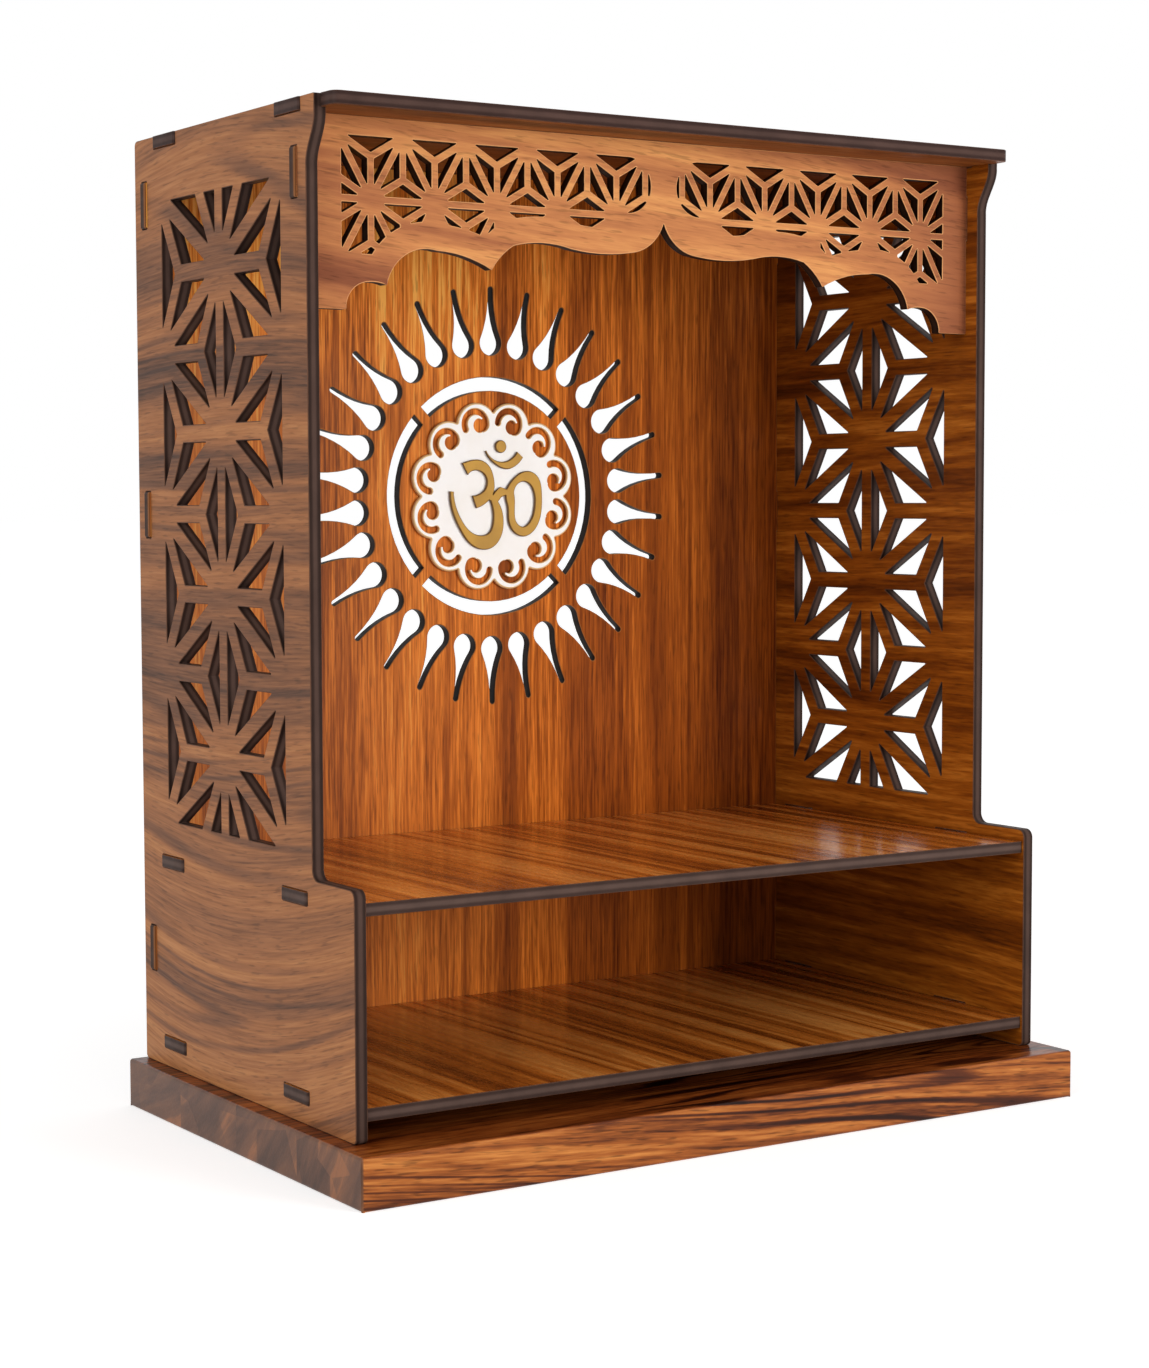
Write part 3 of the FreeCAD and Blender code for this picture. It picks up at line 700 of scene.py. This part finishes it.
# Colours at shares of the tone, from the dark lines to the pale wood
side_outer_stops = [(0.1, (70, 45, 32)), (0.38, (122, 77, 47)), (0.66, (154, 98, 57)),
                    (0.95, (180, 121, 71))]
side_inner_stops = [(0.12, (70, 30, 4)), (0.42, (112, 54, 8)), (0.68, (146, 78, 16)),
                    (0.95, (182, 108, 34))]
back_front_stops = [(0.06, (84, 32, 8)), (0.32, (164, 82, 22)), (0.58, (232, 130, 44)),
                    (0.85, (255, 182, 86))]
back_rear_stops = [(0.12, (66, 44, 34)), (0.42, (100, 66, 46)), (0.68, (130, 88, 60)),
                   (0.95, (156, 110, 78))]
valance_front_stops = [(0.1, (126, 72, 48)), (0.4, (160, 98, 62)), (0.68, (188, 122, 74)),
                       (0.95, (212, 148, 88))]
valance_rear_stops = [(0.1, (80, 46, 30)), (0.4, (112, 66, 40)), (0.68, (138, 86, 52)),
                      (0.95, (162, 108, 66))]
shelf_top_stops = [(0.1, (84, 36, 10)), (0.36, (142, 72, 20)), (0.62, (196, 110, 38)),
                   (0.92, (236, 158, 78))]
shelf_under_stops = [(0.1, (60, 30, 16)), (0.4, (90, 48, 26)), (0.68, (116, 66, 34)),
                     (0.95, (140, 86, 48))]
roof_top_stops = [(0.12, (76, 52, 40)), (0.42, (114, 75, 52)), (0.68, (147, 97, 66)),
                  (0.95, (176, 122, 82))]
roof_under_stops = [(0.1, (76, 38, 14)), (0.4, (106, 56, 22)), (0.68, (132, 74, 32)),
                    (0.95, (158, 96, 46))]
stave_stops = [(0.06, (42, 17, 9)), (0.3, (92, 44, 19)), (0.56, (156, 86, 36)), (0.92, (204, 130, 64))]
end_stops = [(0.15, (68, 44, 33)), (0.45, (92, 60, 43)), (0.7, (112, 73, 50)), (0.9, (144, 91, 56))]

# Colours along a tenon's end, from the front of its board to the rear
tenon_end_stops = [(0.0, (104, 62, 30)), (0.18, (138, 84, 40)), (0.4, (64, 44, 35)),
                   (0.9, (54, 39, 33))]

# Faces of the boards. After the waves come the slow bands and the finer lines, each so many along the
# grain and across it in a metre, and the growth lines, with their turns and strength as well.
side_outer = veneer("side_outer_wood", Y, Z, side_outer_stops, side_waves, (0.8, 30.0), (1.6, 120.0),
                    (0.6, 10.0, 18, 0.5), seed=4.0, bow=side_bow, dark_bands=side_hearts,
                    shares=(0.48, 0.24, 0.28), fibres=(24.0, 640.0), shades=side_shades)
side_inner = veneer("side_inner_wood", Y, Z, side_inner_stops, side_waves, (1.6, 60.0), (8.0, 200.0),
                    (0.9, 16.0, 12, 0.3), seed=11.0, dark_bands=side_hearts)
# The back panel's face carries painted light and shade in its tone
back_front = veneer("back_panel_wood", Z, X, back_front_stops, back_waves, (0.9, 22.0), (4.0, 230.0),
                    (0.5, 16.0, 9, 0.3), seed=2.0, shares=(0.32, 0.28, 0.4), fibres=(26.0, 720.0),
                    dark_bands=back_hearts, clear=0.6, shades=back_painted_light, tint=back_tint)
back_rear = veneer("back_panel_rear_wood", Z, X, back_rear_stops, rear_waves, (1.0, 24.0),
                   (4.0, 180.0), (0.5, 16.0, 9, 0.3), seed=17.0)
# The valance's face carries painted shade at both ends in its tone
valance_front = veneer("valance_wood", X, Z, valance_front_stops, valance_waves, (2.4, 46.0),
                       (8.0, 200.0), (1.0, 16.0, 9, 0.2), tilt=grain_tilt, seed=6.0,
                       shares=(0.6, 0.2, 0.2), fibres=(40.0, 600.0), shades=valance_painted_shade)
valance_rear = veneer("valance_rear_wood", X, Z, valance_rear_stops, valance_waves, (2.4, 60.0),
                      (8.0, 200.0), (1.0, 16.0, 9, 0.25), seed=23.0)
shelf_top = veneer("shelf_top_wood", Y, X, shelf_top_stops, shelf_waves, (1.3, 60.0), (3.0, 200.0),
                   (0.6, 20.0, 9, 0.6), seed=8.0, gloss=0.26, coat=0.3, shares=(0.6, 0.22, 0.18),
                   clear=0.58)
shelf_under = veneer("shelf_under_wood", Y, X, shelf_under_stops, shelf_waves, (1.6, 60.0),
                     (6.0, 220.0), (0.8, 24.0, 8, 0.3), seed=14.0)
roof_top = veneer("roof_top_wood", X, Y, roof_top_stops, roof_waves, (1.2, 34.0), (8.0, 170.0),
                  (0.9, 14.0, 10, 0.3), seed=19.0)
roof_under = veneer("roof_under_wood", X, Y, roof_under_stops, roof_under_waves, (1.6, 50.0),
                    (8.0, 190.0), (0.9, 14.0, 10, 0.3), seed=21.0)

plinth_wood = [solid_stave("plinth_wood_%d" % (k + 1), 31.0 + 7 * k, math.radians(62 - 14 * k))
               for k in range(len(staves))]

# A cut edge's first colour is a painted highlight where it turns from the face, and its last a painted
# highlight along the middle of its wall
side_edge = cut_edge("side_cut_edge", (96, 66, 50), (46, 32, 27), (74, 56, 49))
back_edge = cut_edge("back_cut_edge", (160, 100, 52), (22, 11, 6), (36, 20, 12), "back_panel")
valance_edge = cut_edge("valance_cut_edge", (212, 152, 100), (28, 14, 8), (44, 26, 17), "front_valance")
shelf_edge = cut_edge("shelf_cut_edge", (92, 64, 50), (58, 43, 38), (84, 66, 59))
roof_edge = cut_edge("roof_cut_edge", (88, 60, 48), (52, 36, 32), (74, 55, 49))

white = lacquer("white_lacquer", (255, 253, 250), (250, 246, 240), (230, 192, 136), 0.35)
gold = lacquer("gold_lacquer", (194, 146, 54), (168, 124, 42), (112, 76, 22), 0.32, 0.2)

left_finishes = [side_inner, side_outer, side_edge]
right_finishes = [side_outer, side_inner, side_edge]
back_finishes = [back_rear, back_front, back_edge]
valance_finishes = [valance_rear, valance_front, valance_edge]
shelf_finishes = [shelf_top, shelf_under, shelf_edge]
roof_finishes = [roof_top, roof_under, roof_edge]
disc_finishes = [white, white, white]
om_finishes = [gold, gold, gold]

board("left_side_board", "left_side_panel", X, board_bevel, left_finishes)
board("right_side_board", "right_side_panel", X, board_bevel, right_finishes)
board("back_board", "back_panel", Y, board_bevel, back_finishes)
board("arched_valance", "front_valance", Y, board_bevel, valance_finishes)
board("main_shelf_board", "main_shelf", Z, board_bevel, shelf_finishes)
board("bottom_shelf_board", "bottom_shelf", Z, board_bevel, shelf_finishes)
board("roof_board", "roof_panel", Z, board_bevel, roof_finishes)
board("scalloped_disc", "medallion_disc", Y, disc_bevel, disc_finishes,
      disc_opening_share)
board("om_strokes", "om_letter", Y, om_bevel, om_finishes)
board("crescent", "om_crescent", Y, om_bevel, om_finishes)
board("round_dot", "om_dot", Y, om_bevel, om_finishes)

for number, (stave, finish) in enumerate(zip(staves, plinth_wood), start=1):
    eased_stave("plinth_board_%d" % number, stave, finish)


# Studio


def seen_directly(tree):
    """1 where the camera, a mirror or glass looks straight at a surface, else 0."""
    path = tree.nodes.new("ShaderNodeLightPath")
    straight = calc(tree, "MAXIMUM", path.outputs["Is Camera Ray"], path.outputs["Is Glossy Ray"])
    return calc(tree, "MAXIMUM", straight, path.outputs["Is Transmission Ray"])


def floor():
    """A level floor that is white where it is looked at, and keeps the object's shadow."""
    mesh = bpy.data.meshes.new("floor")
    corners = [(-floor_reach, -floor_reach, 0), (floor_reach, -floor_reach, 0),
               (floor_reach, floor_reach, 0), (-floor_reach, floor_reach, 0)]
    mesh.from_pydata(corners, [], [(0, 1, 2, 3)])
    material, tree, shader = new_material("pale_floor")
    tree.nodes.remove(shader)
    diffuse = wire(tree, "ShaderNodeBsdfDiffuse", {"Color": srgb(*floor_colour)})
    glow = wire(tree, "ShaderNodeEmission", {"Color": (1, 1, 1, 1), "Strength": floor_glow})
    lit = tree.nodes.new("ShaderNodeAddShader")
    tree.links.new(diffuse, lit.inputs[0])
    tree.links.new(glow, lit.inputs[1])
    seen = tree.nodes.new("ShaderNodeMixShader")
    tree.links.new(seen_directly(tree), seen.inputs[0])
    tree.links.new(diffuse, seen.inputs[1])
    tree.links.new(lit.outputs[0], seen.inputs[2])
    tree.links.new(seen.outputs[0], tree.nodes["Material Output"].inputs["Surface"])
    mesh.materials.append(material)
    made = bpy.data.objects.new("floor", mesh)
    bpy.context.scene.collection.objects.link(made)


def lamp(name, place, size, power, mirrored):
    """A soft square lamp at a place, turned to the lamps' aim, that glossy surfaces mirror or don't."""
    data = bpy.data.lights.new(name, "AREA")
    data.shape = "SQUARE"
    data.size = size
    data.energy = power
    made = bpy.data.objects.new(name, data)
    made.location = place
    made.rotation_mode = "QUATERNION"
    made.rotation_quaternion = (Vector(lamp_aim) - Vector(place)).to_track_quat("-Z", "Y")
    made.visible_glossy = mirrored
    bpy.context.scene.collection.objects.link(made)


def surroundings(strength):
    """An even pale light all round, white where it is looked at."""
    world = bpy.data.worlds.new("studio")
    bpy.context.scene.world = world
    world.use_nodes = True
    tree = world.node_tree
    back = tree.nodes["Background"]
    level = calc(tree, "MULTIPLY_ADD", seen_directly(tree), 1.0 - strength, strength)
    back.inputs["Color"].default_value = (1, 1, 1, 1)
    tree.links.new(level, back.inputs["Strength"])


def camera():
    """The photograph's camera: its axes from the yaw, the downward tilt and the roll."""
    forward = Vector((-math.sin(camera_yaw) * math.cos(camera_down),
                      math.cos(camera_yaw) * math.cos(camera_down), -math.sin(camera_down)))
    right = forward.cross(Vector((0, 0, 1))).normalized()
    up = right.cross(forward)
    across = right * math.cos(camera_roll) + up * math.sin(camera_roll)
    upright = -right * math.sin(camera_roll) + up * math.cos(camera_roll)
    data = bpy.data.cameras.new("camera")
    data.lens = camera_lens
    data.sensor_width = sensor
    data.clip_end = 100
    made = bpy.data.objects.new("camera", data)
    turn = Matrix((across, upright, -forward)).transposed().to_4x4()
    made.matrix_world = Matrix.Translation(camera_place) @ turn
    bpy.context.scene.collection.objects.link(made)
    bpy.context.scene.camera = made


floor()
surroundings(light_all_round)
lamp("key_lamp", key_place, key_size, key_power, False)
lamp("fill_lamp", fill_place, fill_size, fill_power, True)
camera()
bpy.context.scene.view_settings.view_transform = "Standard"
